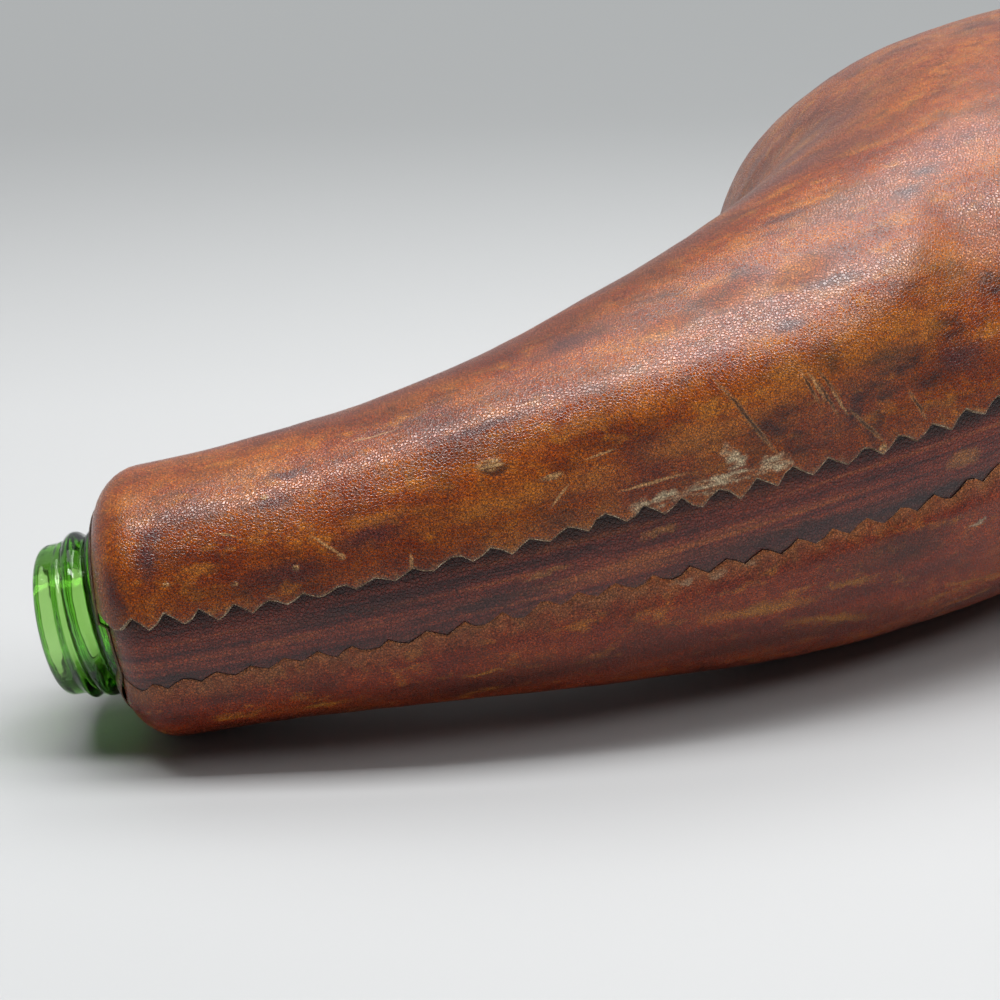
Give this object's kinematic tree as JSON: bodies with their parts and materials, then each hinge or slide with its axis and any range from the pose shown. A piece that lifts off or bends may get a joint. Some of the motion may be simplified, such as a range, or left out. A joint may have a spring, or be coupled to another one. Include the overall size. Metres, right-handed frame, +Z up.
{
  "type": "leather-wrapped decanter",
  "caption": "Green glass decanter with a bent neck and screw mouth, wrapped in leather panels whose pinked edges lap a leather strip along each side; lies on its side or stands on its sole.",
  "frame": {"origin": "on the table, under the middle of the decanter's box as it lies on its side", "axes": "+X from the mouth towards the base along the neck, +Y towards the side that the body bends to, +Z up from the table"},
  "size_m": [0.2678, 0.1798, 0.1056],
  "materials": {
    "green_glass": "smooth moulded bottle glass",
    "packing_cloth": "wound cloth tape, stiff with glue",
    "panel_leather": "waxed, pebbled grain, worn and streaked",
    "strip_leather": "waxed, dark, satin",
    "washer_leather": "worn raw edge",
    "sole_leather": "scuffed, satin"
  },
  "bodies": {
    "root": {"glass_bottle": "green_glass", "neck_packing": "packing_cloth", "near_strip": "strip_leather", "far_strip": "strip_leather", "upper_panel": "panel_leather", "lower_panel": "panel_leather", "neck_washer": "washer_leather", "base_sole": "sole_leather"}
  },
  "joints": []
}
